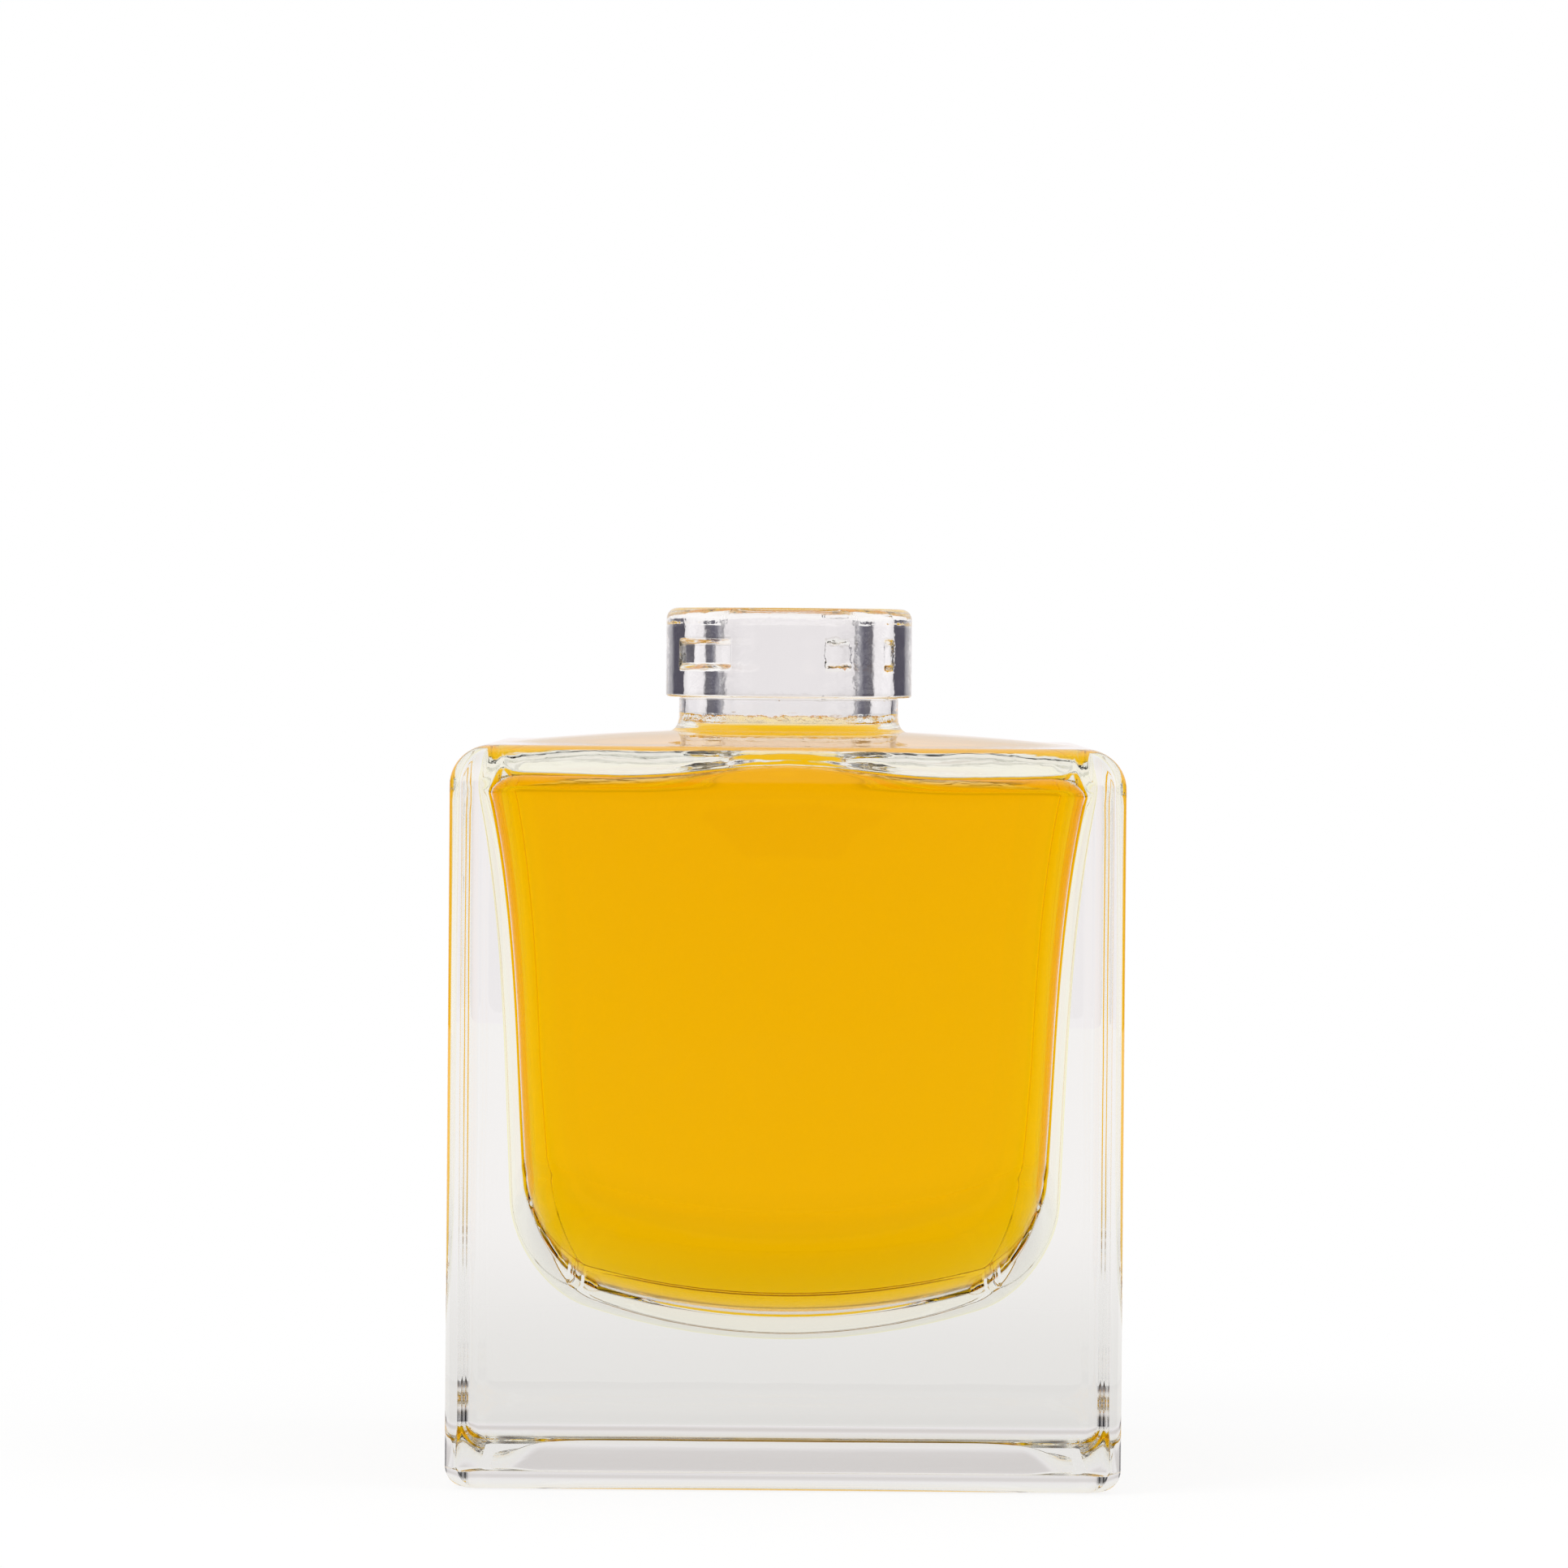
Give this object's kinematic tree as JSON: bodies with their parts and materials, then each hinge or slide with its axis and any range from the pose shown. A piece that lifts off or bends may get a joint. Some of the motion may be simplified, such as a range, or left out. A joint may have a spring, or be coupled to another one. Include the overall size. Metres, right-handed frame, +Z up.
{
  "type": "square glass bottle of orange-yellow drink",
  "caption": "Square clear glass bottle with a thick base, round corners, a low domed shoulder and a short banded neck, open and filled to the neck with an orange-yellow drink.",
  "frame": {"origin": "middle of the foot, on the surface the bottle stands on", "axes": "+Z up through the neck; the four flat sides face -X, +X, -Y and +Y, and the neck's two notches face (-X, -Y) and (+X, +Y)"},
  "size_m": [0.076, 0.076, 0.0995],
  "materials": {
    "glass": "polished, clear",
    "drink": "clear orange-yellow liquid"
  },
  "bodies": {
    "root": {"glass_bottle": "glass", "drink": "drink"}
  },
  "joints": []
}
